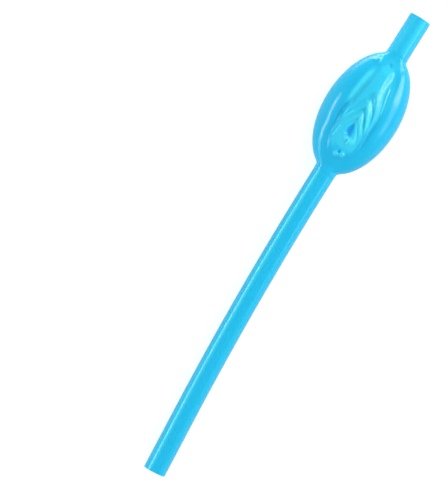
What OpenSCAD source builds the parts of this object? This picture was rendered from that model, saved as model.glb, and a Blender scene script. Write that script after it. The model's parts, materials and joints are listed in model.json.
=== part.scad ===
// Blow-moulded plastic drinking straw with a hollow oval bulb near its mouth end.
// The straw is drawn with the middle of the bulb at zero, the mouth end at +X and the moulded
// front up, and is then laid down as it rests: on the back of the bulb and the rim of its foot.

/* [Tube] */
// Outside diameter of the drinking tube
tube_d = 9.5; // [8:0.1:11]
// Thickness of the tube's wall
tube_wall = 0.7; // [0.5:0.05:1.1]
// Distance from the middle of the bulb to the open mouth end
mouth_reach = 45.8; // [38:0.1:70]
// Distance from the middle of the bulb to the open foot end, along the tube
foot_reach = 170; // [120:1:220]

/* [Bend] */
// Radius of the slight bend that the stem has cooled into
bend_radius = 1500; // [800:50:6000]
// Straight stretch of the stem between the bulb and the bend
bend_gap = 5.8; // [2:0.1:30]
// Straight stretch of the stem at the foot end
foot_straight = 25; // [15:1:50]

/* [Bulb] */
// Length of the bulb along the tube
bulb_l = 55.6; // [50:0.1:64]
// Width of the bulb across the tube
bulb_w = 32.4; // [28:0.1:40]
// Height of the bulb's front above the tube's centre line
bulb_front = 9.4; // [8.4:0.1:12]
// Height of the bulb's back below the tube's centre line
bulb_back = 8.6; // [7:0.1:12]
// Thickness of the bulb's wall
bulb_wall = 0.6; // [0.4:0.05:1]
// Width over which the bulb's surface rounds out onto the tube
neck_blend = 1.2; // [1:0.1:4]
// Height of the fine ring where the bulb leaves the tube
neck_ring = 0.1; // [0.05:0.01:0.3]

/* [Folds] */
// Middle of the framing groove, measured from the middle of the bulb towards the mouth
frame_at = -6.2; // [-8:0.1:-4]
// Length of the framing groove from its middle to its pointed upper end
frame_up = 29.8; // [27:0.1:31]
// Length of the framing groove from its middle to its round lower end
frame_down = 14.7; // [13:0.1:16]
// Half of the framing groove's width
frame_half = 6.75; // [6:0.05:7.5]
// Depth of the framing groove
frame_depth = 0.55; // [0.3:0.05:1.2]
// Height of the outer lips beside the framing groove
lip_h = 0.6; // [0:0.05:1]
// Height of the hood that runs down the upper half
hood_h = 1.25; // [0:0.05:1.5]
// Height of the nested inner folds
fold_h = 0.95; // [0:0.05:1.2]
// Depth of the teardrop recess in the middle
recess_depth = 1.3; // [0.5:0.1:1.8]

/* [Hidden] */

tube_r = tube_d / 2;
bore_r = tube_r - tube_wall;
// How far cutters reach past the faces that they open
past = 1;
// How far the straight lengths lap into the bend, and how much thicker the bend is
bend_lap = 1;
bend_ease = 0.02;
// Segments of a round section, and of a full turn of the bend
round_fn = 96;
bend_fn = 3600;

// The bulb's skins run out this far below the surface of the tube that they meet,
// over this much more length than the bulb has
run_out = 0.4 * tube_wall;
neck_run = 1.4;
neck_ramp = 1.8;

// Facets of the moulded surface: rings along the bulb, columns across its front and back.
// The back has an odd number of columns, so that the bulb rests on a flat one.
rings = 84;
front_columns = 46;
back_columns = 13;
cavity_rings = 26;
cavity_front_columns = 14;
cavity_back_columns = 9;
// Share of even spacing, the rest of the columns crowd towards the folds
evenness = 0.42;

// The folds are eggs, each [middle, length up, length down, half width, point, roundness]:
// a low exponent draws the upper end to a point and a high one squares the lower end
frame_egg = [frame_at, frame_up, frame_down, frame_half, 1.9, 2.6];
hood_egg = [frame_at - 2.3, 17.2, 10, 0.98 * frame_half, 1.5, 2.4];
// The nested folds carry two more numbers, their share of the fold height and their width
fold_eggs = [
    [frame_at - 2.8, 14.2, 8, 0.93 * frame_half, 1.3, 2.4, 1, 1.5],
    [frame_at - 5.8, 11.6, 6, 0.82 * frame_half, 1.3, 2.4, 0.72, 1.05],
    [frame_at - 6.3, 8.2, 5, 0.56 * frame_half, 1.3, 2.4, 0.6, 0.85]
];
recess_egg = [frame_at - 2.9, 4.6, 1.9, 0.19 * frame_half, 1.3, 2.2];
basin_egg = [frame_at - 6, 6, 5.2, 0.6 * frame_half, 2, 2.2];
// The soft bumps and the small pit at the top, [along, across, radius, share of the fold height]
bumps = [
    [frame_at - 5.5, 0.8, 0.9, 0.8],
    [frame_at - 6.4, -1.3, 1.1, 0.9],
    [frame_at - 13.3, 1.3, 0.85, 1.2],
    [frame_at - 12.7, -1.6, 0.85, 1.1],
    [frame_at + 29, 0.3, 0.9, -1.2]
];
// Upper tip of the hood
hood_tip = frame_at + 28.4;

// A rounded step from 0 to 1
function soft_step(t) = let (c = min(1, max(0, t))) c * c * (3 - 2 * c);
// The larger of two lengths, rounded where they differ by less than k
function soft_max(a, b, k) = max(a, b) + pow(max(0, k - abs(a - b)), 2) / (4 * k);
// A rounded hill of height 1 over a distance d, with its own width on each side
function hill(d, outside, inside) = exp(-pow(d / (d > 0 ? outside : inside), 2));
// A crest of height 1 that falls evenly outside, and like a hill inside
function ramp(d, outside, inside) =
    let (t = min(1, max(0, d / outside)))
    d > 0 ? 1 - t + 0.3 * sin(360 * t) / (2 * PI) : hill(d, outside, inside);
// Signed distance from an egg's outline, below zero inside it
function from_egg(x, y, egg) =
    let (
        up = x > egg[0],
        along = abs(x - egg[0]) / (up ? egg[1] : egg[2]),
        n = up ? egg[4] : egg[5]
    )
    (pow(pow(abs(y) / egg[3], n) + pow(along, n), 1 / n) - 1) * egg[3];
// Sum of a list of numbers
function total(list) = list * [for (v = list) 1];

// Share of the bulb's full width and depth that is left at x
function oval(x, half_l) = sqrt(max(0, 1 - pow(x / half_l, 2)));
// The folds fade out where the front of the bulb comes down to the tube
function fade(x) = soft_step((bulb_front * oval(x, bulb_l / 2) - tube_r) / 1.5);

// Places across, moved a little to and fro as in a mould cut by hand
function waver(x, y) = y + 0.15 * sin(22.9 * x + 34.4);
// Half width of the hood: it widens down from its round tip and is gentler on one side
function hood_half(x, y) =
    (2.9 + 0.025 * pow(max(0, hood_tip - 9 - x), 2))
    * (1 + 0.25 * soft_step(y / 1.5))
    * sqrt(soft_step((hood_tip + 1 - x) / 4) + 0.01);
// The hood, a rounded ridge that ends at its lower edge
function hood(x, y) =
    hood_h * exp(-pow(abs(y) / hood_half(x, y), 2.6)) * soft_step((hood_tip - x) / 4)
    * soft_step(0.5 + from_egg(x, y, hood_egg) / 1.2);
// The nested folds: each rises evenly from outside and drops steeply on its inner side
function nested(x, y) =
    fold_h * soft_step((x - frame_at + 8.5) / 5)
    * total([for (egg = fold_eggs) egg[6] * ramp(from_egg(x, y, egg), egg[7], 0.45)]);
// The soft bumps below the recess with the cleft between them, and the pit at the top
function bumped(x, y) =
    fold_h * total([
        for (b = bumps) b[3] * exp(-(pow(x - b[0], 2) + pow(y - b[1], 2)) / (b[2] * b[2]))
    ])
    - 0.4 * fold_h * exp(-pow((y + 0.3) / 0.4, 2) - pow((x - frame_at + 7) / 1.8, 2));
// Height of the moulded folds above the plain front of the bulb
function folds(x, across) =
    let (
        y = waver(x, across),
        frame_d = from_egg(x, y, frame_egg),
        basin_d = from_egg(x, y, basin_egg),
        inside = soft_step(0.5 - frame_d / 1.2),
        deep = frame_depth * (0.6 + 0.4 * soft_step((frame_at + 26 - x) / 14))
            * (0.3 + 0.7 * soft_step((x - frame_at + 13) / 7))
    )
    fade(x) * (
        lip_h * (1 + 0.35 * soft_step(y / 3)) * hill(frame_d - 2.4, 4.5, 1.5)
        - deep * hill(frame_d, 1.1, 0.7)
        + inside * (hood(x, y) + nested(x, y) + 0.2 * soft_step((x - frame_at + 2) / 8) - 0.1)
        - 0.3 * fold_h * hill(basin_d, 0.6, 0.6) * soft_step((frame_at - 9.5 - x) / 2)
        - recess_depth * soft_step(0.5 - from_egg(x, y, recess_egg) / 1.5)
        + bumped(x, y)
    );
// Depth by which the inside of the wall follows the folds, smoothed as blown plastic is
function sink(x, y) =
    fade(x) * (
        1.2 * frame_depth * hill(max(0, from_egg(x, y, frame_egg) - 0.6), 1.6, 1)
        + 0.9 * recess_depth * exp(-pow((x - recess_egg[0]) / 5, 2) - pow(y / 3, 2))
    );

// Places from -1 to 1 that follow a fifth power, so that they crowd to the middle
function crowded(v) = evenness * v + (1 - evenness) * pow(v, 5);

// One closed ring of points at x: half an ellipse over the front, half under the back.
// The outside carries the folds, and the inside sinks under them.
function ring(x, half, front, back, columns, outside) =
    [
        for (j = [0:columns[0] - 1])
            let (
                a = 90 * crowded(2 * j / columns[0] - 1),
                y = half * sin(a)
            )
            [x, y, front * cos(a) + (outside ? folds(x, y) : -sink(x, y))],
        for (j = [0:columns[1] - 1])
            let (a = 90 + 180 * j / columns[1])
            [x, half * sin(a), back * cos(a)]
    ];

// Rings of a whole oval skin. Its ends run on past the oval, and rise from radius end_r.
function oval_skin(half_l, sizes, run, end_r, rise, n_rings, columns, outside) =
    [
        for (i = [0:n_rings])
            let (
                x = (half_l + run) * (2 * i / n_rings - 1),
                neck_r = end_r + rise * soft_step((half_l + run - abs(x)) / neck_ramp),
                size = [for (s = sizes) soft_max(s * oval(x, half_l), neck_r, neck_blend)]
            )
            ring(x, size[0], size[1], size[2], columns, outside)
    ];

// Closed solid through a list of rings that all have the same number of points
module loft(skin) {
    n = len(skin[0]);
    last = len(skin) - 1;
    sides = [
        for (i = [0:last - 1], j = [0:n - 1])
            let (
                a = i * n + j,
                b = i * n + (j + 1) % n
            )
            each [[a, b, b + n], [a, b + n, a + n]]
    ];
    foot_cap = [for (j = [n - 1:-1:0]) j];
    mouth_cap = [for (j = [0:n - 1]) last * n + j];
    polyhedron(points = [for (r = skin) each r], faces = concat(sides, [foot_cap, mouth_cap]), convexity = 6);
}

// Outside of the bulb with the moulded folds on its front
module bulb_skin() {
    loft(oval_skin(
        bulb_l / 2, [bulb_w / 2, bulb_front, bulb_back], neck_run,
        tube_r - run_out, run_out + neck_ring,
        rings, [front_columns, back_columns], true
    ));
}

// Space inside the bulb, one wall smaller all round
module bulb_space() {
    loft(oval_skin(
        bulb_l / 2 - bulb_wall, [bulb_w / 2 - bulb_wall, bulb_front - bulb_wall, bulb_back - bulb_wall], 0,
        bore_r - run_out, 0,
        cavity_rings, [cavity_front_columns, cavity_back_columns], false
    ));
}

// Where the bend starts, and the angle that it turns through
bend_from = bulb_l / 2 + neck_run + bend_gap;
bend_angle = (foot_reach - bend_from - foot_straight) / bend_radius * 180 / PI;

// Round bar along the whole tube, lengthened by extra at both ends. The bent stretch is thicker by
// bend_ease, so that the straight lengths, which lap into it, join it on flat faces.
module bar(r, extra) {
    translate([-bend_from - bend_lap, 0, 0])
        rotate([0, 90, 0])
            cylinder(r = r, h = bend_lap + bend_from + mouth_reach + extra, $fn = round_fn);
    translate([-bend_from, -bend_radius, 0]) {
        rotate([0, 0, 90])
            rotate_extrude(angle = bend_angle, $fn = bend_fn)
                translate([bend_radius, 0])
                    circle(r = r + bend_ease, $fn = round_fn);
        rotate([0, 0, bend_angle])
            translate([bend_lap, bend_radius, 0])
                rotate([0, -90, 0])
                    cylinder(r = r, h = bend_lap + foot_straight + extra, $fn = round_fn);
    }
}

// At rest the back of the bulb and the rim of the foot touch the table: the slope solves
// sqrt(a^2 t^2 + b^2) = L t + r for the tangent t of the pitch. The lowest facet is flat,
// half a column to each side of the middle.
rest_a = bulb_l / 2;
rest_b = bulb_back * cos(90 / back_columns);
rest_l = bend_from + bend_radius * sin(bend_angle) + foot_straight * cos(bend_angle);
rest_k = pow(rest_l, 2) - pow(rest_a, 2);
rest_slope = (
    sqrt(pow(rest_l * tube_r, 2) + rest_k * (pow(rest_b, 2) - pow(tube_r, 2))) - rest_l * tube_r
) / rest_k;
rest_pitch = atan(rest_slope);
rest_height = sqrt(pow(rest_a * sin(rest_pitch), 2) + pow(rest_b * cos(rest_pitch), 2));
// The origin is under the middle between the outermost points of the two ends
mouth_tip = mouth_reach * cos(rest_pitch) + tube_r * sin(rest_pitch);
foot_tip = rest_l * cos(rest_pitch) + tube_r * sqrt(1 - pow(cos(bend_angle) * cos(rest_pitch), 2));
rest_shift = (foot_tip - mouth_tip) / 2;

// The whole straw is one blown piece: tube and bulb share one wall and one bore
module straw() {
    color([0.16, 0.77, 0.95])
        translate([rest_shift, 0, rest_height])
            rotate([0, -rest_pitch, 0])
                difference() {
                    union() {
                        bar(tube_r, 0);
                        bulb_skin();
                    }
                    union() {
                        bar(bore_r, past);
                        bulb_space();
                    }
                }
}

straw();
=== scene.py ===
import json
import logging
import math
from dataclasses import dataclass, field
from enum import Enum

import bpy
import numpy as np
from mathutils import Matrix, Vector


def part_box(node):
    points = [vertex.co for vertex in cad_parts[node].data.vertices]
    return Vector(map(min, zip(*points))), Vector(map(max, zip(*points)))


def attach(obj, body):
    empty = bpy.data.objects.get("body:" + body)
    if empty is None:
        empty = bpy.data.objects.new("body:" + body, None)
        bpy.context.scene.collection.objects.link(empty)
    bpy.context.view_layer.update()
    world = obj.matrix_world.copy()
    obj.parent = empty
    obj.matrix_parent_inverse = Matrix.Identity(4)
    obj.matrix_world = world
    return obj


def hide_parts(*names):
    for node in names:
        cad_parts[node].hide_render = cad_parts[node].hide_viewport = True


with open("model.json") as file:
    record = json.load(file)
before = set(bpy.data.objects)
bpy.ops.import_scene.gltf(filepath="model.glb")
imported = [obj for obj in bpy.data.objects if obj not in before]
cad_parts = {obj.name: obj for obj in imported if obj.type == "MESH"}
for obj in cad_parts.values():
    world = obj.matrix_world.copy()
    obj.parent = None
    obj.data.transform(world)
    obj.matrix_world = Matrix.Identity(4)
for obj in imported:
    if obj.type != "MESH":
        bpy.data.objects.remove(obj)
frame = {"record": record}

LOG = logging.getLogger("straw")
MM = 0.001


class Skin(Enum):
    """The two sides of the blown wall."""

    OUTSIDE = "outside"
    INSIDE = "inside"


def soft_max(a: np.ndarray, b: np.ndarray, k: float) -> np.ndarray:
    """Larger of two lengths plus (k - |a - b|)^2 / 4k where they differ by less than k."""
    return np.maximum(a, b) + np.maximum(0.0, k - np.abs(a - b)) ** 2 / (4.0 * k)


@dataclass(frozen=True)
class Step:
    """Rounded step from one level to another. A length below zero runs it the other way."""

    start: float
    length: float
    before: float = 0.0
    after: float = 1.0

    def at(self, t: np.ndarray) -> np.ndarray:
        """Level at t: 3s^2 - 2s^3 of the way, where s is (t - start) / length held from 0 to 1."""
        s = np.clip((t - self.start) / self.length, 0.0, 1.0)
        return self.before + (self.after - self.before) * (s * s * (3.0 - 2.0 * s))


@dataclass(frozen=True)
class Hill:
    """Rounded hill over a distance, with its own width on each side of its crest."""

    crest: float
    outside: float
    inside: float
    height: float = 1.0

    def at(self, d: np.ndarray) -> np.ndarray:
        """Height at d: height * exp(-((d - crest) / width)^2)."""
        off = d - self.crest
        return self.height * np.exp(-((off / np.where(off > 0.0, self.outside, self.inside)) ** 2))


@dataclass(frozen=True)
class Bump:
    """Round bump, or a pit where its height is below zero."""

    x: float
    y: float
    r: float
    height: float

    def at(self, x: np.ndarray, y: np.ndarray) -> np.ndarray:
        """Height at a place: height * exp(-distance^2 / r^2)."""
        return self.height * np.exp(-((x - self.x) ** 2 + (y - self.y) ** 2) / (self.r * self.r))


@dataclass(frozen=True)
class Crease:
    """Short sharp ridge along the straight line between two places, in millimetres."""

    start: tuple[float, float]
    end: tuple[float, float]
    crest: float
    width: float = 0.36

    def at(self, x: np.ndarray, y: np.ndarray) -> np.ndarray:
        """Height at a place: crest * exp(-distance^2 / width^2), with the distance from the line.

        Args:
            x: Places along the straw.
            y: Places across it.

        Returns:
            The height at each place.
        """
        along, across = x - self.start[0], y - self.start[1]
        run, rise = self.end[0] - self.start[0], self.end[1] - self.start[1]
        share = np.clip((along * run + across * rise) / (run * run + rise * rise), 0.0, 1.0)
        off = (along - share * run) ** 2 + (across - share * rise) ** 2
        return self.crest * np.exp(-off / self.width ** 2)


@dataclass(frozen=True)
class Egg:
    """Egg-shaped outline on the bulb's front, in millimetres.

    It reaches up and down from its middle and its half width to each side. A low exponent draws
    the upper end to a point and a high one squares the lower end.
    """

    middle: float
    up: float
    down: float
    half: float
    point: float
    roundness: float

    def distance(self, x: np.ndarray, y: np.ndarray) -> np.ndarray:
        """Signed distance from the outline, below zero inside it.

        The formula is half * (((|y| / half)^n + (|x - middle| / length)^n)^(1/n) - 1), where the
        length and the exponent n change at the egg's middle.

        Args:
            x: Places along the straw.
            y: Places across it.

        Returns:
            The distance at each place.
        """
        above = x > self.middle
        n = np.where(above, self.point, self.roundness)
        along = np.abs(x - self.middle) / np.where(above, self.up, self.down)
        across = np.abs(y) / self.half
        return ((across ** n + along ** n) ** (1.0 / n) - 1.0) * self.half


@dataclass(frozen=True)
class Fold:
    """One nested fold: its crest follows an egg-shaped outline, and its legs fade out at a step."""

    outline: Egg
    share: float
    slope: float
    legs: Step
    inner: Hill = Hill(0.0, 0.45, 0.45)
    rounding: float = 0.3

    def at(self, x: np.ndarray, y: np.ndarray) -> np.ndarray:
        """Height at a place, as a share of the folds' height.

        Outside the outline the crest falls by t - rounding * sin(2 pi t) / 2 pi, where t is the
        distance over the slope's length held from 0 to 1, and inside it falls as a hill does.

        Args:
            x: Places along the straw.
            y: Places across it.

        Returns:
            The share at each place.
        """
        d = self.outline.distance(x, y)
        t = np.clip(d / self.slope, 0.0, 1.0)
        outer = 1.0 - t + self.rounding * np.sin(2.0 * math.pi * t) / (2.0 * math.pi)
        return self.share * np.where(d > 0.0, outer, self.inner.at(d)) * self.legs.at(x)


@dataclass(frozen=True)
class Hood:
    """The hood, a rounded ridge that widens down to its lower edge, in millimetres."""

    height: float = 1.25
    tip: float = 28.9
    edge: Egg = Egg(-2.3, 17.2, 10.0, 6.21, 1.5, 2.4)
    edge_drop: Step = Step(-0.6, 1.2)
    half: float = 2.3
    even_length: float = 8.0
    widening: float = 0.1
    curve: float = 0.009
    gentler_side: Step = Step(0.0, 1.5, 1.0, 1.25)
    tip_width: Step = Step(29.9, -4.0, 0.01, 1.01)
    tip_height: Step = Step(28.9, -5.0)
    lower_end: Step = Step(-11.0, 9.0, 0.35, 1.0)
    section: float = 3.0

    def at(self, x: np.ndarray, y: np.ndarray) -> np.ndarray:
        """Height of the hood.

        Its half width is half + widening * e + curve * e^2, where e is the distance below its tip
        less the even length, and a quarter more on its gentler side. Its section is
        exp(-(|y| / half width)^3). It sinks to about a third towards the folds' lower end.

        Args:
            x: Places along the straw, from the groove's middle.
            y: Places across it.

        Returns:
            The height at each place.
        """
        below = np.maximum(0.0, self.tip - self.even_length - x)
        half = self.half + self.widening * below + self.curve * below ** 2
        half = half * self.gentler_side.at(y) * np.sqrt(self.tip_width.at(x))
        ridge = np.exp(-(np.abs(y) / half) ** self.section) * self.tip_height.at(x)
        drop = self.edge_drop.at(self.edge.distance(x, y))
        return self.height * self.lower_end.at(x) * ridge * drop


@dataclass(frozen=True)
class Folds:
    """The nested folds moulded into the bulb's front, in millimetres.

    Outlines, bumps, creases and steps along the straw are measured from the groove's middle,
    which lies at `frame_at` from the bulb's. Steps named "beside" run across the straw. The floor
    is the level inside the groove, and the sink is how far the inside of the wall follows.
    """

    frame_at: float = -6.2
    outline: Egg = Egg(0.0, 29.8, 14.7, 6.75, 1.9, 2.6)
    inside: Step = Step(0.6, -1.2)
    lower_end: Step = Step(-9.0, 8.0)
    groove: Hill = Hill(0.0, 1.1, 0.7, 0.42)
    groove_along: Step = Step(26.0, -14.0, 0.6, 1.0)
    groove_beside: Step = Step(0.0, -3.0, 0.7, 0.4)
    lip: Hill = Hill(2.4, 4.5, 1.5, 0.6)
    lip_beside: Step = Step(-3.0, 6.0, 0.75, 1.35)
    floor: Step = Step(-2.0, 8.0, 0.0, 0.2)
    floor_drop: float = 0.1
    hood: Hood = Hood()
    fold_h: float = 0.95
    nested_beside: Step = Step(0.0, 3.0, 1.0, 0.55)
    nested_folds: tuple[Fold, ...] = (
        Fold(Egg(-2.8, 12.2, 8.0, 5.67, 1.3, 2.4), 1.2, 1.8, Step(-2.5, 6.0)),
        Fold(Egg(-5.8, 10.3, 6.0, 4.59, 1.3, 2.4), 1.05, 1.55, Step(-5.0, 6.0)),
        Fold(Egg(-6.3, 8.0, 5.0, 3.105, 1.3, 2.4), 0.7, 1.05, Step(-8.0, 6.0)),
    )
    recess: Egg = Egg(-2.9, 4.9, 2.0, 1.485, 1.3, 2.2)
    recess_wall: Step = Step(0.9, -1.8)
    recess_depth: float = 1.1
    recess_shift: float = 0.1
    basin: Egg = Egg(-6.0, 6.0, 5.2, 4.05, 2.0, 2.2)
    basin_groove: Hill = Hill(0.0, 0.6, 0.6, 0.06)
    basin_end: Step = Step(-9.5, -2.0)
    soft_bumps: tuple[Bump, ...] = (
        Bump(-5.6, 0.0, 1.0, 0.85),
        Bump(-6.5, -2.0, 1.3, 1.05),
        Bump(-13.4, 0.2, 1.0, 1.1),
        Bump(-12.6, -1.9, 1.0, 1.0),
        Bump(-12.2, -0.5, 0.6, -0.8),
        Bump(11.2, 0.8, 0.6, 0.3),
        Bump(29.0, 0.3, 0.9, -1.2),
    )
    cleft_at: tuple[float, float] = (-6.5, -0.6)
    cleft_size: tuple[float, float] = (2.0, 0.4)
    cleft_depth: float = 0.5
    sharp_creases: tuple[Crease, ...] = (
        Crease((4.5, 3.7), (1.2, 5.5), 0.35),
        Crease((7.7, 5.8), (0.7, 5.8), 0.25),
        Crease((-3.1, 4.9), (-7.6, 5.5), 0.35),
        Crease((-4.3, 6.7), (-6.6, 6.7), 0.15),
        Crease((20.0, -4.5), (13.0, -6.0), 0.20),
        Crease((13.0, -6.0), (9.5, -6.5), 0.20),
    )
    crinkle_at: tuple[float, float] = (29.2, 4.8)
    crinkle_size: tuple[float, float] = (1.6, 0.38)
    crinkle_h: float = 0.28
    slow_wave: tuple[float, float, float] = (0.15, 0.4, 0.6)
    fine_wave: tuple[float, float, float, float] = (0.05, 2.6, 0.9, 0.7)
    sink_groove: Hill = Hill(0.0, 1.6, 1.0, 0.504)
    sink_flat: float = 0.6
    sink_recess: float = 0.99
    sink_size: tuple[float, float] = (5.0, 3.0)

    def off(self, x: np.ndarray, y: np.ndarray) -> np.ndarray:
        """Signed distance from the framing groove's outline, below zero inside it."""
        return self.outline.distance(x - self.frame_at, y)

    def nested(self, x: np.ndarray, y: np.ndarray) -> np.ndarray:
        """Height of the nested folds, which are fainter on one side."""
        shares = sum(fold.at(x - self.frame_at, y) for fold in self.nested_folds)
        return self.fold_h * self.nested_beside.at(y) * shares

    def creases(self, x: np.ndarray, y: np.ndarray) -> np.ndarray:
        """Height of the short sharp creases: the highest of them at each place."""
        return np.maximum.reduce([crease.at(x - self.frame_at, y) for crease in self.sharp_creases])

    def bumps(self, x: np.ndarray, y: np.ndarray) -> np.ndarray:
        """Height of the soft bumps and pits, less the short cleft below the recess.

        The cleft is depth * exp(-(across / its size)^2 - (along / its size)^2).

        Args:
            x: Places along the straw.
            y: Places across it.

        Returns:
            The height at each place.
        """
        u = x - self.frame_at
        along = (u - self.cleft_at[0]) / self.cleft_size[0]
        across = (y - self.cleft_at[1]) / self.cleft_size[1]
        cleft = self.cleft_depth * np.exp(-(across ** 2) - along ** 2)
        return self.fold_h * (sum(bump.at(u, y) for bump in self.soft_bumps) - cleft)

    def crinkle(self, x: np.ndarray, y: np.ndarray) -> np.ndarray:
        """Height of the small crinkle by the mouth's neck: exp(-across^2 - along^4) of its sizes.

        Args:
            x: Places along the straw.
            y: Places across it.

        Returns:
            The height at each place.
        """
        along = (x - self.frame_at - self.crinkle_at[0]) / self.crinkle_size[0]
        across = (y - self.crinkle_at[1]) / self.crinkle_size[1]
        return self.crinkle_h * np.exp(-(across ** 2) - along ** 4)

    def waver(self, x: np.ndarray, y: np.ndarray) -> np.ndarray:
        """Places across, moved a little by a slow and a fine sine, as in a hand-cut mould.

        The slow wave is height * sin(turn * x + start), and the fine one is
        height * sin(turn * x + slant * y) * sin(swell * x).

        Args:
            x: Places along the straw.
            y: Places across it.

        Returns:
            The moved places across.
        """
        height, turn, start = self.slow_wave
        slow = height * np.sin(turn * x + start)
        height, turn, slant, swell = self.fine_wave
        return y + slow + height * np.sin(turn * x + slant * y) * np.sin(swell * x)

    def height(self, x: np.ndarray, y: np.ndarray) -> np.ndarray:
        """Height of the folds above the plain front.

        The lips and grooves are hills over the distance from an egg-shaped outline, and the recess
        is a rounded step down inside its own outline.

        Args:
            x: Places along the straw.
            y: Places across it.

        Returns:
            The height at each place.
        """
        u, y = x - self.frame_at, self.waver(x, y)
        off = self.off(x, y)
        low = self.lower_end.at(u)
        lips = low * self.lip.at(off) * self.lip_beside.at(y)
        groove = low * self.groove.at(off) * self.groove_along.at(u) * self.groove_beside.at(y)
        floor = self.floor.at(u) - self.floor_drop * low
        raised = self.inside.at(off) * (self.hood.at(u, y) + self.nested(x, y) + floor)
        basin = self.fold_h * self.basin_groove.at(self.basin.distance(u, y)) * self.basin_end.at(u)
        recess_d = self.recess.distance(u, y - self.recess_shift)
        sunk = groove + basin + self.recess_depth * self.recess_wall.at(recess_d)
        return lips + raised - sunk + self.creases(x, y) + self.bumps(x, y)

    def sink(self, x: np.ndarray, y: np.ndarray) -> np.ndarray:
        """Depth by which the inside of the wall follows the folds, smoothed as blown plastic is.

        Under the groove it is a hill that is flat for a little way outside the outline, and under
        the recess it is depth * exp(-(along / its size)^2 - (across / its size)^2).

        Args:
            x: Places along the straw.
            y: Places across it.

        Returns:
            The depth at each place.
        """
        groove = self.sink_groove.at(np.maximum(0.0, self.off(x, y) - self.sink_flat))
        along = (x - self.frame_at - self.recess.middle) / self.sink_size[0]
        across = y / self.sink_size[1]
        return groove + self.sink_recess * np.exp(-(along ** 2) - across ** 2)


@dataclass(frozen=True)
class Places:
    """Where points of the outside lie, and how far each belongs to the stem or to the stub.

    They lie along and across the straw in millimetres, at an angle round it in degrees and at a
    distance off the framing groove's outline.
    """

    x: np.ndarray
    y: np.ndarray
    turn: np.ndarray
    off: np.ndarray
    stem: np.ndarray
    stub: np.ndarray


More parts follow.
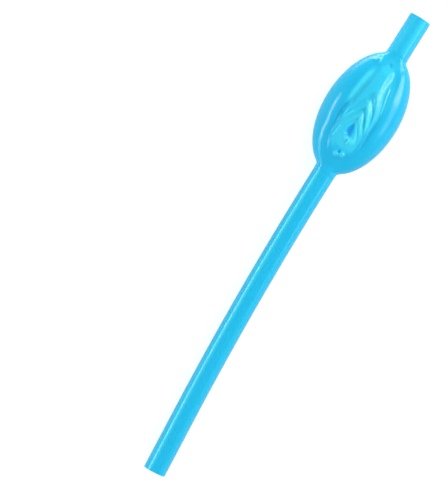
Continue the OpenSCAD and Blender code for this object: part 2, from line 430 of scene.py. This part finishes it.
@dataclass(frozen=True)
class WallTones:
    """Where the wall shows its other colours, most of them painted light and shade.

    Steps and bumps are in millimetres from the bulb's middle. Hills round the framing groove
    take the distance from its outline, and the painted side shade and the painted highlight
    lines take the angle in degrees.
    """

    lower_half: Step = Step(2.0, -6.0)
    inside_upper: Step = Step(1.5, -3.0, 0.0, 0.45)
    inside_lower: Step = Step(0.0, -1.2, 0.0, 0.65)
    inside_end: Step = Step(-19.0, 4.0)
    # Painted light: a lit band on the groove's outer flank.
    lit_flank: Hill = Hill(0.9, 0.9, 0.7)
    flank_beside: Step = Step(0.0, 3.0, 0.4, 1.5)
    flank_lower: Step = Step(-1.0, 7.0)
    flank_upper: Step = Step(20.0, -6.0)
    # Painted highlights on the raised bumps and creases and on the crinkle.
    highlight_gain: float = 1.2
    highlight_top: float = 0.5
    crinkle_highlight_gain: float = 4.0
    # Painted light: the front is lighter towards the mouth's neck.
    neck: Step = Step(16.0, 10.0, 0.0, 0.08)
    # Painted highlight: a glint spot on the first fold.
    glint: Bump = Bump(4.4, -1.9, 1.3, 0.5)
    # Painted highlights on the fold crests, on one side only.
    crest_highlights: Step = Step(0.0, 0.6, 0.0, 0.3)
    highlight_side: Step = Step(0.0, -1.0)
    # Painted highlight lines along the stem and the stub, and painted light over the whole stub.
    stem_highlight_lines: tuple[Hill, Hill] = (Hill(31.0, 10.0, 10.0, 0.8), Hill(-33.0, 9.0, 9.0, 0.08))
    stub_highlight_lines: tuple[Hill, Hill] = (Hill(25.0, 12.0, 12.0, 0.25), Hill(-24.0, 16.0, 16.0, 0.45))
    stub_painted_light: float = 0.15
    # Painted shade: deeper colour in the recess, round it, along the groove and towards the foot.
    sunk_from: float = 0.6
    sunk_range: float = 0.75
    foot_side: Step = Step(-8.0, -14.0, 0.0, 0.1)
    shade_round_recess: Bump = Bump(-9.0, 0.0, 2.2, 0.4)
    # Painted shade along the groove's lower half, as deeper and darker colour.
    groove: Hill = Hill(0.2, 0.7, 0.5)
    groove_end: Step = Step(-22.0, 4.0)
    groove_deep: float = 0.1
    groove_dark: float = 0.12
    # Painted shade: a dark spot by the mouth's neck.
    crinkle: Bump = Bump(21.6, 6.3, 1.4, 0.35)
    shade: Hill = Hill(-0.9, 0.5, 0.5, 0.3)
    shade_beside: Step = Step(0.0, 3.0)
    shade_end: Step = Step(16.0, -6.0)
    # Painted shade on the straw's sides, where the surface turns away.
    seam: Hill = Hill(90.0, 30.0, 30.0)
    side_shade_bulb: float = 0.55
    side_shade_tube: float = 0.35

    def low(self, at: Places) -> np.ndarray:
        """Share of the bulb's lower half at each place."""
        return self.lower_half.at(at.x) * (1.0 - at.stem)

    def groove_line(self, at: Places) -> np.ndarray:
        """Share of the groove's lower half at each place."""
        return self.low(at) * self.groove.at(at.off) * self.groove_end.at(at.x)

    def lighter_and_lit(self, at: Places, folds: Folds) -> np.ndarray:
        """Share of the lighter colour: a lighter tone inside the framing groove, and painted light.

        Painted light: a lit band on the groove's outer flank, painted highlights on the bumps,
        creases, crinkle and one spot, on the fold crests of one side and by the neck, and painted
        highlight lines along the tube and the stub.

        Args:
            at: The places.
            folds: The folds on the bulb's front.

        Returns:
            The share at each place.
        """
        low = self.low(at)
        upper = (1.0 - low) * self.inside_upper.at(at.off)
        lower = low * self.inside_end.at(at.x) * self.inside_lower.at(at.off)
        # Painted light: a lit band on the groove's outer flank.
        lit_flank = self.lit_flank.at(at.off) * self.flank_beside.at(at.y)
        lit_flank = lit_flank * self.flank_lower.at(at.x) * self.flank_upper.at(at.x)
        # Painted highlights on the raised bumps and creases, on the crinkle and on one glint spot.
        raised = folds.bumps(at.x, at.y) + folds.creases(at.x, at.y)
        highlight_specks = self.highlight_gain * np.clip(raised, 0.0, self.highlight_top)
        highlight_specks = highlight_specks + self.crinkle_highlight_gain * folds.crinkle(at.x, at.y) + self.glint.at(at.x, at.y)
        # Painted highlights on the fold crests, on one side only.
        crest_highlights = self.crest_highlights.at(folds.nested(at.x, at.y))
        crest_highlights = crest_highlights * self.highlight_side.at(at.y) * self.highlight_side.at(at.off)
        # The neck step is painted light, lighter towards the mouth's neck.
        bulb = np.clip(upper + lower + lit_flank + highlight_specks + crest_highlights + self.neck.at(at.x), 0.0, 1.0)
        # Painted highlight lines along the stem and the stub, and a lighter stub: painted light.
        stem = sum(line.at(at.turn) for line in self.stem_highlight_lines)
        stub = self.stub_painted_light + sum(line.at(at.turn) for line in self.stub_highlight_lines)
        return (1.0 - at.stem - at.stub) * bulb + at.stem * stem + at.stub * stub

    def deep(self, at: Places, folds: Folds) -> np.ndarray:
        """Share of the deeper colour, painted shade.

        It is painted shade in and round the recess, faintly along the groove's lower half and
        towards the bulb's lower end.

        Args:
            at: The places.
            folds: The folds on the bulb's front.

        Returns:
            The share at each place.
        """
        # Painted shade in the recess.
        sunk = np.clip((-folds.height(at.x, at.y) - self.sunk_from) / self.sunk_range, 0.0, 1.0)
        # Painted shade towards the bulb's lower end.
        foot_side = self.foot_side.at(at.x) * (1.0 - at.stem)
        groove = self.groove_deep * self.groove_line(at)
        return np.clip(sunk + foot_side + self.shade_round_recess.at(at.x, at.y) + groove, 0.0, 1.0)

    def shaded(self, at: Places) -> np.ndarray:
        """Share of the darkest colour on the front, painted shade.

        It is painted shade in a small spot by the mouth's neck and, faintly, beside and along the groove.

        Args:
            at: The places.

        Returns:
            The share at each place.
        """
        shade = (1.0 - self.low(at)) * self.shade.at(at.off)
        shade = shade * self.shade_beside.at(at.y) * self.shade_end.at(at.x)
        return self.crinkle.at(at.x, at.y) + shade + self.groove_dark * self.groove_line(at)

    def side_shade(self, at: Places) -> np.ndarray:
        """Share of the darkest colour along the straw's sides, painted shade where the surface turns away.
        """
        return (self.side_shade_bulb + self.side_shade_tube * (at.stem + at.stub)) * self.seam.at(np.abs(at.turn))


@dataclass(frozen=True)
class BluePlastic:
    """Glossy, slightly translucent bright blue blown plastic."""

    colour: tuple[float, float, float, float] = (0.001, 0.475, 0.755, 1.0)
    # Lighter tone inside the framing groove, and painted light.
    lighter_and_lit_colour: tuple[float, float, float, float] = (0.045, 0.675, 0.850, 1.0)
    # Deeper tone: random cloudiness, and painted shade.
    deep_colour: tuple[float, float, float, float] = (0.001, 0.450, 0.990, 1.0)
    # Painted shade on the sides and on the front.
    painted_shade_colour: tuple[float, float, float, float] = (0.001, 0.240, 0.400, 1.0)
    roughness: float = 0.17
    roughness_spread: float = 0.05
    cloud_scale: float = 90.0
    cloud_detail: float = 3.0
    cloud_range: tuple[float, float] = (0.35, 0.75)
    cloud_share: float = 0.10
    ripple_scale: float = 420.0
    ripple_detail: float = 2.0
    ripple_strength: float = 0.2
    ripple_height: float = 0.01 * MM
    ior: float = 1.5
    specular: float = 0.33
    translucency: float = 0.35
    light_reach: tuple[float, float, float] = (0.3, 0.8, 1.0)
    light_depth: float = 1.2 * MM

    def group(self) -> bpy.types.NodeTree:
        """Node group of the wall's cloudiness, its gloss and its fine ripple.

        Returns:
            The group, with colour, roughness and height outputs.
        """
        tree = bpy.data.node_groups.new("blown_wall", "ShaderNodeTree")
        sockets = tree.interface
        for name in ("Color", "Lighter_and_lit Color", "Deep Color", "Painted_shade Color"):
            sockets.new_socket(name, in_out="INPUT", socket_type="NodeSocketColor")
        for name in ("Lighter_and_lit", "Depth", "Seam", "Roughness"):
            sockets.new_socket(name, in_out="INPUT", socket_type="NodeSocketFloat")
        sockets.new_socket("Color", in_out="OUTPUT", socket_type="NodeSocketColor")
        sockets.new_socket("Roughness", in_out="OUTPUT", socket_type="NodeSocketFloat")
        sockets.new_socket("Height", in_out="OUTPUT", socket_type="NodeSocketFloat")
        nodes, links = tree.nodes, tree.links
        given = nodes.new("NodeGroupInput")
        result = nodes.new("NodeGroupOutput")
        place = nodes.new("ShaderNodeTexCoord")
        clouds = nodes.new("ShaderNodeTexNoise")
        clouds.inputs["Scale"].default_value = self.cloud_scale
        clouds.inputs["Detail"].default_value = self.cloud_detail
        links.new(place.outputs["Object"], clouds.inputs["Vector"])
        cloudy = nodes.new("ShaderNodeMapRange")
        cloudy.inputs["From Min"].default_value, cloudy.inputs["From Max"].default_value = self.cloud_range
        cloudy.inputs["To Min"].default_value = 0.0
        cloudy.inputs["To Max"].default_value = self.cloud_share
        links.new(clouds.outputs["Fac"], cloudy.inputs["Value"])
        # Deeper colour: the larger of random cloudiness and the painted shade of the depth attribute.
        deep = nodes.new("ShaderNodeMath")
        deep.operation = "MAXIMUM"
        links.new(cloudy.outputs["Result"], deep.inputs[0])
        links.new(given.outputs["Depth"], deep.inputs[1])
        shown = given.outputs["Color"]
        for name, share in (
            ("Lighter_and_lit Color", given.outputs["Lighter_and_lit"]),
            ("Deep Color", deep.outputs[0]),
            ("Painted_shade Color", given.outputs["Seam"]),
        ):
            mixed = nodes.new("ShaderNodeMix")
            mixed.data_type = "RGBA"
            links.new(share, mixed.inputs["Factor"])
            links.new(shown, mixed.inputs["A"])
            links.new(given.outputs[name], mixed.inputs["B"])
            shown = mixed.outputs["Result"]
        links.new(shown, result.inputs["Color"])
        ripple = nodes.new("ShaderNodeTexNoise")
        ripple.inputs["Scale"].default_value = self.ripple_scale
        ripple.inputs["Detail"].default_value = self.ripple_detail
        links.new(place.outputs["Object"], ripple.inputs["Vector"])
        links.new(ripple.outputs["Fac"], result.inputs["Height"])
        spread = nodes.new("ShaderNodeMapRange")
        spread.inputs["To Min"].default_value = -self.roughness_spread
        spread.inputs["To Max"].default_value = self.roughness_spread
        links.new(clouds.outputs["Fac"], spread.inputs["Value"])
        gloss = nodes.new("ShaderNodeMath")
        gloss.operation = "ADD"
        links.new(given.outputs["Roughness"], gloss.inputs[0])
        links.new(spread.outputs["Result"], gloss.inputs[1])
        links.new(gloss.outputs[0], result.inputs["Roughness"])
        return tree

    def material(self) -> bpy.types.Material:
        """Material of the whole straw.

        Returns:
            The material, whose colour follows the mesh's attributes: a lighter tone with painted
            light, a deeper tone of painted shade and a darkest tone of painted shade.
        """
        material = bpy.data.materials.new("blue_blown_plastic")
        material.use_nodes = True
        nodes, links = material.node_tree.nodes, material.node_tree.links
        shader = nodes["Principled BSDF"]
        wall = nodes.new("ShaderNodeGroup")
        wall.node_tree = self.group()
        wall.inputs["Color"].default_value = self.colour
        wall.inputs["Lighter_and_lit Color"].default_value = self.lighter_and_lit_colour
        wall.inputs["Deep Color"].default_value = self.deep_colour
        wall.inputs["Painted_shade Color"].default_value = self.painted_shade_colour
        wall.inputs["Roughness"].default_value = self.roughness
        for name in ("lighter_and_lit", "depth", "seam"):
            given = nodes.new("ShaderNodeAttribute")
            given.attribute_name = name
            links.new(given.outputs["Fac"], wall.inputs[name.capitalize()])
        links.new(wall.outputs["Color"], shader.inputs["Base Color"])
        links.new(wall.outputs["Roughness"], shader.inputs["Roughness"])
        bumped = nodes.new("ShaderNodeBump")
        bumped.inputs["Strength"].default_value = self.ripple_strength
        bumped.inputs["Distance"].default_value = self.ripple_height
        links.new(wall.outputs["Height"], bumped.inputs["Height"])
        links.new(bumped.outputs["Normal"], shader.inputs["Normal"])
        shader.inputs["IOR"].default_value = self.ior
        shader.inputs["Subsurface Weight"].default_value = self.translucency
        shader.inputs["Subsurface Radius"].default_value = self.light_reach
        shader.inputs["Subsurface Scale"].default_value = self.light_depth
        shader.inputs["Specular IOR Level"].default_value = self.specular
        return material


@dataclass(frozen=True)
class Bend:
    """The slight bend of the stem, in millimetres: straight, an arc towards -Y, and straight again."""

    start: float = 35.0
    radius: float = 1500.0
    angle: float = 0.0733

    def apply(self, points: np.ndarray) -> np.ndarray:
        """Lay points of a straight straw along the bent line.

        Along the arc the line is at start + radius * sin(turn) towards the foot and at
        radius * (1 - cos(turn)) to the side, where turn is the length from the start over the radius.

        Args:
            points: Places as along, across and up, in an array that ends with those three.

        Returns:
            The places on the bent straw.
        """
        beyond = np.maximum(0.0, -self.start - points[..., 0])
        turn = np.minimum(beyond / self.radius, self.angle)
        rest = beyond - turn * self.radius
        line_x = np.where(beyond > 0.0, -self.start, points[..., 0])
        line_x = line_x - self.radius * np.sin(turn) - rest * np.cos(turn)
        line_y = -self.radius * (1.0 - np.cos(turn)) - rest * np.sin(turn)
        across = points[..., 1]
        bent_x = line_x - across * np.sin(turn)
        bent_y = line_y + across * np.cos(turn)
        return np.stack([bent_x, bent_y, points[..., 2]], axis=-1)


@dataclass(frozen=True)
class RestPose:
    """Where the straw's own line lies in the frame, taken from the mouth's mount.

    The line runs towards the mouth along `axis` and passes through `start`, the middle of the bulb.
    """

    start: Vector
    axis: Vector

    @classmethod
    def from_frame(cls, mouth_reach: float) -> "RestPose":
        """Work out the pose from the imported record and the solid's box.

        Args:
            mouth_reach: Distance from the bulb's middle to the mouth end, in millimetres.

        Returns:
            The pose, in metres.
        """
        mount = mounts()["mouth_bore"]
        axis = Vector(mount["axis"]).normalized()
        on_line = Vector(mount["pos_m"])
        mouth_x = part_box("straw")[1][0] - mounts()["mouth_outside"]["dims"]["r_mm"] * MM * axis.z
        mouth = on_line + axis * ((mouth_x - on_line.x) / axis.x)
        return cls(start=mouth - axis * mouth_reach * MM, axis=axis)

    def matrix(self) -> Matrix:
        """Matrix that takes the straw's own millimetres into the frame's metres.

        Returns:
            The matrix, with the straw's line as its first axis and the frame's Y as its second.
        """
        across = Vector((0.0, 1.0, 0.0))
        up = self.axis.cross(across)
        turn = Matrix((self.axis, across, up)).transposed().to_4x4()
        return Matrix.Translation(self.start) @ turn @ Matrix.Scale(MM, 4)


def mounts() -> dict[str, dict]:
    """The record's mounts by name."""
    return {mount["name"]: mount for mount in frame["record"]["mounts"]}


@dataclass
class Straw:
    """The one blown piece: tube and bulb with one wall, in millimetres along its own line."""

    tube_r: float = 4.75
    bore_r: float = 4.05
    foot_reach: float = 170.0
    mouth_reach: float = 45.8
    bulb_l: float = 55.6
    bulb_w: float = 32.4
    bulb_front: float = 9.4
    bulb_back: float = 8.6
    bulb_wall: float = 0.6
    neck_blend: float = 1.6
    neck_ring: float = 0.1
    neck_ring_end: float = 1.4
    past_bulb: float = 1.5
    folds_end_h: float = 1.5
    lip_length: float = 1.0
    lip_crown: float = 0.15
    lip_section: float = 0.6
    tone_change: float = 2.0
    front_columns: int = 184
    back_columns: int = 40
    column_crowding: float = 0.45
    bulb_rings: int = 250
    ring_crowding: float = 0.15
    inner_rings: int = 64
    stem_rings: int = 40
    stub_rings: int = 6
    lip_rings: int = 9
    bend: Bend = field(default_factory=Bend)
    folds: Folds = field(default_factory=Folds)
    wall_tones: WallTones = field(default_factory=WallTones)

    @classmethod
    def from_frame(cls) -> "Straw":
        """Take the tube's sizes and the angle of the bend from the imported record's mounts.

        Returns:
            The straw, not yet built.
        """
        found = mounts()
        foot_axis = Vector(found["foot_bore"]["axis"]).normalized()
        return cls(
            tube_r=found["mouth_outside"]["dims"]["r_mm"],
            bore_r=found["mouth_bore"]["dims"]["r_mm"],
            bend=Bend(angle=math.asin(-foot_axis.y)),
        )

    def angles(self) -> np.ndarray:
        """Angles round the straw from its front: crowded over the folds, even over the back.

        Over the front the angle is 90 degrees times ((1 - c) v + c v^3) for v from -1 to 1, where
        c is the crowding of the columns.

        Returns:
            One angle in radians for each column.
        """
        quarter = math.pi / 2.0
        v = np.linspace(-1.0, 1.0, self.front_columns, endpoint=False)
        front = quarter * ((1.0 - self.column_crowding) * v + self.column_crowding * v ** 3)
        back = np.linspace(quarter, 3.0 * quarter, self.back_columns, endpoint=False)
        return np.concatenate([front, back])

    def fade(self, x: np.ndarray) -> np.ndarray:
        """Share of the folds left at x: they fade out where the front comes down to the tube."""
        oval = np.sqrt(np.maximum(0.0, 1.0 - (x / (self.bulb_l / 2.0)) ** 2))
        return Step(self.tube_r, self.folds_end_h).at(self.bulb_front * oval)

    def rings(self, x: np.ndarray, radius: np.ndarray, skin: Skin) -> np.ndarray:
        """Points of one side of the wall.

        At each x the section is half an ellipse in front and half another behind. Their sizes are
        the soft maximum of the bulb's ellipse, size * sqrt(1 - (x / half length)^2), and the
        tube's radius, and the folds are added to the front.

        Args:
            x: Place of each ring along the straw.
            radius: Radius of the tube at each ring.
            skin: Which side of the wall.

        Returns:
            An array of rings by columns by 3.
        """
        inset = self.bulb_wall if skin is Skin.INSIDE else 0.0
        oval = np.sqrt(np.maximum(0.0, 1.0 - (x / (self.bulb_l / 2.0 - inset)) ** 2))
        sizes = [
            soft_max((size - inset) * oval, radius, self.neck_blend)[:, None]
            for size in (self.bulb_w / 2.0, self.bulb_front, self.bulb_back)
        ]
        angle = self.angles()[None, :]
        front = np.cos(angle) > 0.0
        y = sizes[0] * np.sin(angle)
        z = np.where(front, sizes[1], sizes[2]) * np.cos(angle)
        along = np.broadcast_to(x[:, None], y.shape)
        if skin is Skin.OUTSIDE:
            relief = self.folds.height(along, y) * self.fade(along) + self.folds.crinkle(along, y)
        else:
            relief = -self.folds.sink(along, y) * self.fade(along)
        z = z + np.where(front, relief, 0.0)
        return np.stack([along, y, z], axis=-1)

    def lip(self, end: float, outward: float) -> tuple[np.ndarray, np.ndarray]:
        """Crowned edge of an open end, from the outside to the bore.

        The place is end - outward * crown * (1 - sin(t)), and the radius is the wall's middle plus
        half its thickness times cos(t)^0.6 with the cosine's sign, for t from 0 to 180 degrees.

        Args:
            end: Place of the end along the straw.
            outward: 1 at the mouth end and -1 at the foot end.

        Returns:
            The place and the radius of each ring, from the outside to the inside.
        """
        t = np.linspace(0.0, math.pi, self.lip_rings)
        middle = (self.tube_r + self.bore_r) / 2.0
        half_wall = (self.tube_r - self.bore_r) / 2.0
        radius = middle + half_wall * np.sign(np.cos(t)) * np.abs(np.cos(t)) ** self.lip_section
        return end - outward * self.lip_crown * (1.0 - np.sin(t)), radius

    def tones(self, outer: np.ndarray, count: int) -> dict[str, np.ndarray]:
        """Shares of the wall's other colours, for the mesh's attributes: a lighter tone with painted
        light, and painted shade.

        Args:
            outer: Points of the outside, rings by columns by 3.
            count: Number of rings of the whole wall, which starts with the outside.

        Returns:
            One share for each ring and column, by name.
        """
        angle = (self.angles() + math.pi) % (2.0 * math.pi) - math.pi
        x, y = outer[..., 0], outer[..., 1]
        stem = Step(-self.bulb_l / 2.0, -self.tone_change).at(x)
        stub = Step(self.bulb_l / 2.0, self.tone_change).at(x)
        at = Places(x, y, np.degrees(angle), self.folds.off(x, y), stem, stub)
        front = np.cos(angle) > 0.0
        # Painted shade on the straw's sides and on the front.
        dark = self.wall_tones.side_shade(at) + np.where(front, self.wall_tones.shaded(at), 0.0)
        shares = {
            "lighter_and_lit": np.where(front, self.wall_tones.lighter_and_lit(at, self.folds), 0.0),
            "depth": np.where(front, self.wall_tones.deep(at, self.folds), 0.0),
            "seam": np.clip(dark, 0.0, 1.0),
        }
        unseen = np.zeros((count - len(outer), len(angle)))
        return {name: np.concatenate([share, unseen]) for name, share in shares.items()}

    def points(self) -> tuple[np.ndarray, dict[str, np.ndarray]]:
        """Points of the whole closed wall and its tones.

        Over the bulb the rings lie at edge * ((1 - c) v + c sin(90 degrees * v)) for v from -1 to
        1, where c is the crowding of the rings.

        Returns:
            An array of rings by columns by 3, and the shares of the other colours.
        """
        mouth, foot = self.mouth_reach, -self.foot_reach
        edge = self.bulb_l / 2.0 + self.past_bulb
        stem = np.linspace(foot + self.lip_length, -edge, self.stem_rings, endpoint=False)
        stub = np.linspace(edge, mouth - self.lip_length, self.stub_rings)
        v = np.linspace(-1.0, 1.0, self.bulb_rings, endpoint=False)
        crowded = self.ring_crowding * np.sin(math.pi / 2.0 * v)
        bulb = edge * ((1.0 - self.ring_crowding) * v + crowded)
        outer = np.concatenate([stem, bulb, stub])
        ring = Step(self.bulb_l / 2.0 + self.neck_ring_end, -1.0).at(np.abs(outer))
        even = edge * np.linspace(-1.0, 1.0, self.inner_rings, endpoint=False)
        inner = np.concatenate([stem, even, stub])[::-1]
        mouth_x, mouth_r = self.lip(mouth, 1.0)
        foot_x, foot_r = self.lip(foot, -1.0)
        rings = [
            self.rings(outer, self.tube_r + self.neck_ring * ring, Skin.OUTSIDE),
            self.rings(mouth_x, mouth_r, Skin.OUTSIDE),
            self.rings(inner, np.full(len(inner), self.bore_r), Skin.INSIDE),
            self.rings(foot_x[::-1], foot_r[::-1], Skin.OUTSIDE),
        ]
        tones = self.tones(rings[0], sum(len(part) for part in rings))
        return self.bend.apply(np.concatenate(rings)), tones

    def build(self) -> bpy.types.Object:
        """Build the mesh, lay it down and dress it.

        Returns:
            The finished piece, which replaces the plain solid.
        """
        points, tones = self.points()
        n_rings, n_columns = points.shape[:2]
        ring = np.arange(n_rings)[:, None]
        column = np.arange(n_columns)[None, :]
        ring_next = (ring + 1) % n_rings
        column_next = (column + 1) % n_columns
        faces = np.stack(
            [
                ring * n_columns + column,
                ring * n_columns + column_next,
                ring_next * n_columns + column_next,
                ring_next * n_columns + column,
            ],
            axis=-1,
        ).reshape(-1, 4)
        matrix = np.array(RestPose.from_frame(self.mouth_reach).matrix())
        placed = points.reshape(-1, 3) @ matrix[:3, :3].T + matrix[:3, 3]
        mesh = bpy.data.meshes.new("blown_straw")
        mesh.from_pydata(placed, [], faces)
        for name, share in tones.items():
            mesh.attributes.new(name, "FLOAT", "POINT").data.foreach_set("value", share.reshape(-1))
        mesh.polygons.foreach_set("use_smooth", np.ones(len(faces), dtype=bool))
        mesh.materials.append(BluePlastic().material())
        mesh.update()
        piece = bpy.data.objects.new("blown_straw", mesh)
        bpy.context.scene.collection.objects.link(piece)
        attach(piece, "root")
        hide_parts("straw")
        return piece


@dataclass
class Table:
    """Plain pale table that the straw lies on, in metres."""

    half: float = 3.0
    gap: float = 0.0001
    colour: tuple[float, float, float, float] = (0.55, 0.55, 0.55, 1.0)
    roughness: float = 0.9
    glow_colour: tuple[float, float, float, float] = (1.0, 1.0, 1.0, 1.0)
    glow: float = 0.6

    def build(self) -> bpy.types.Object:
        """Build the table top just under the straw.

        Returns:
            The table top, which is not part of the object.
        """
        corners = np.array([(-1, -1), (1, -1), (1, 1), (-1, 1)], dtype=float) * self.half
        mesh = bpy.data.meshes.new("table_top")
        mesh.from_pydata(np.column_stack([corners, np.full(4, -self.gap)]), [], [(0, 1, 2, 3)])
        material = bpy.data.materials.new("table_white")
        material.use_nodes = True
        shader = material.node_tree.nodes["Principled BSDF"]
        shader.inputs["Base Color"].default_value = self.colour
        shader.inputs["Roughness"].default_value = self.roughness
        shader.inputs["Specular IOR Level"].default_value = 0.0
        shader.inputs["Emission Color"].default_value = self.glow_colour
        shader.inputs["Emission Strength"].default_value = self.glow
        mesh.materials.append(material)
        top = bpy.data.objects.new("table_top", mesh)
        bpy.context.scene.collection.objects.link(top)
        return top


@dataclass(frozen=True)
class Softbox:
    """A rectangular lamp that faces the bulb from a direction, in metres, watts and degrees."""

    name: str
    towards: tuple[float, float, float]
    size: tuple[float, float]
    watts: float
    roll: float = 0.0
    distance: float = 0.9
    spread: float = 180.0

    def build(self, aim: Vector) -> bpy.types.Object:
        """Hang the lamp.

        Args:
            aim: The point that the lamp faces.

        Returns:
            The lamp's object.
        """
        lamp = bpy.data.lights.new(self.name, "AREA")
        lamp.shape = "RECTANGLE"
        lamp.size, lamp.size_y = self.size
        lamp.energy = self.watts
        lamp.spread = math.radians(self.spread)
        hung = bpy.data.objects.new(self.name, lamp)
        away = Vector(self.towards).normalized()
        level = (Vector((1.0, 0.0, 0.0)) - away * away.x).normalized()
        roll = math.radians(self.roll)
        side = level * math.cos(roll) + away.cross(level) * math.sin(roll)
        turn = Matrix((side, away.cross(side), away)).transposed().to_4x4()
        hung.matrix_world = Matrix.Translation(aim + away * self.distance) @ turn
        bpy.context.scene.collection.objects.link(hung)
        return hung


@dataclass(frozen=True)
class Studio:
    """Plain soft studio light: an even white surround and a few softboxes."""

    white: tuple[float, float, float, float] = (1.0, 1.0, 1.0, 1.0)
    surround: float = 0.78
    backdrop: float = 1.0
    lamps: tuple[Softbox, ...] = (
        Softbox("key", (-0.235, 0.904, 0.358), (0.60, 0.10), 2.4, roll=12.0),
        Softbox("low_key", (-0.61, 0.74, 0.26), (0.24, 0.18), 0.5, roll=12.0),
        Softbox("fill", (0.20, -0.875, 0.44), (0.50, 0.26), 1.0, roll=5.0),
        Softbox("high_fill", (0.60, -0.69, 0.41), (0.62, 0.42), 4.6),
        Softbox("kicker", (0.80, 0.60, -0.17), (0.038, 0.024), 0.0030, distance=0.05, spread=80.0),
    )

    def build(self, aim: Vector) -> None:
        """Set the surround and hang the lamps.

        Args:
            aim: The point that the lamps face.
        """
        world = bpy.data.worlds.new("white_studio")
        world.use_nodes = True
        nodes, links = world.node_tree.nodes, world.node_tree.links
        light = nodes["Background"]
        light.inputs["Strength"].default_value = self.surround
        light.inputs["Color"].default_value = self.white
        seen = nodes.new("ShaderNodeBackground")
        seen.inputs["Strength"].default_value = self.backdrop
        path = nodes.new("ShaderNodeLightPath")
        shown = path.outputs["Is Camera Ray"]
        for name in ("Is Glossy Ray", "Is Transmission Ray"):
            either = nodes.new("ShaderNodeMath")
            either.operation = "MAXIMUM"
            links.new(shown, either.inputs[0])
            links.new(path.outputs[name], either.inputs[1])
            shown = either.outputs[0]
        mix = nodes.new("ShaderNodeMixShader")
        links.new(shown, mix.inputs["Fac"])
        links.new(light.outputs["Background"], mix.inputs[1])
        links.new(seen.outputs["Background"], mix.inputs[2])
        links.new(mix.outputs["Shader"], nodes["World Output"].inputs["Surface"])
        bpy.context.scene.world = world
        for lamp in self.lamps:
            lamp.build(aim)


@dataclass(frozen=True)
class PhotoCamera:
    """Camera at the photograph's viewing angle, looking down at the straw, in metres.

    It stands over the straw and is rolled so that the straw leans as in the picture.
    """

    picture_height: float = 500.0
    pixel: float = 0.4104 * MM
    sensor: float = 36.0
    distance: float = 1.3
    over_x: float = -0.03
    over_y: float = 0.02
    aim_x: float = -0.01525
    aim_y: float = 0.01805
    aim_z: float = 0.007
    lean: float = math.radians(31.996)

    def build(self) -> bpy.types.Object:
        """Set up the camera and make it the scene's own.

        Returns:
            The camera's object.
        """
        aim = Vector((self.aim_x, self.aim_y, self.aim_z))
        place = Vector((self.over_x, self.over_y, self.distance))
        ahead = (aim - place).normalized()
        along = Vector((1.0, 0.0, 0.0))
        along = (along - ahead * along.dot(ahead)).normalized()
        beside = ahead.cross(along)
        up = along * math.cos(self.lean) - beside * math.sin(self.lean)
        right = ahead.cross(up)
        data = bpy.data.cameras.new("photo_camera")
        data.sensor_fit = "VERTICAL"
        data.sensor_height = self.sensor
        data.lens = self.sensor * (aim - place).length / (self.picture_height * self.pixel)
        camera = bpy.data.objects.new("photo_camera", data)
        camera.matrix_world = Matrix.Translation(place) @ Matrix((right, up, -ahead)).transposed().to_4x4()
        bpy.context.scene.collection.objects.link(camera)
        bpy.context.scene.camera = camera
        return camera


def main() -> None:
    """Build the straw, its table, the lamps and the camera."""
    logging.basicConfig(level=logging.INFO, format="%(name)s: %(message)s")
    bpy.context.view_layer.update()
    straw = Straw.from_frame()
    piece = straw.build()
    LOG.info("%s has %d faces", piece.name, len(piece.data.polygons))
    Table().build()
    Studio().build(RestPose.from_frame(straw.mouth_reach).start)
    PhotoCamera().build()
    bpy.context.scene.view_settings.view_transform = "Standard"


if __name__ == "__main__":
    main()
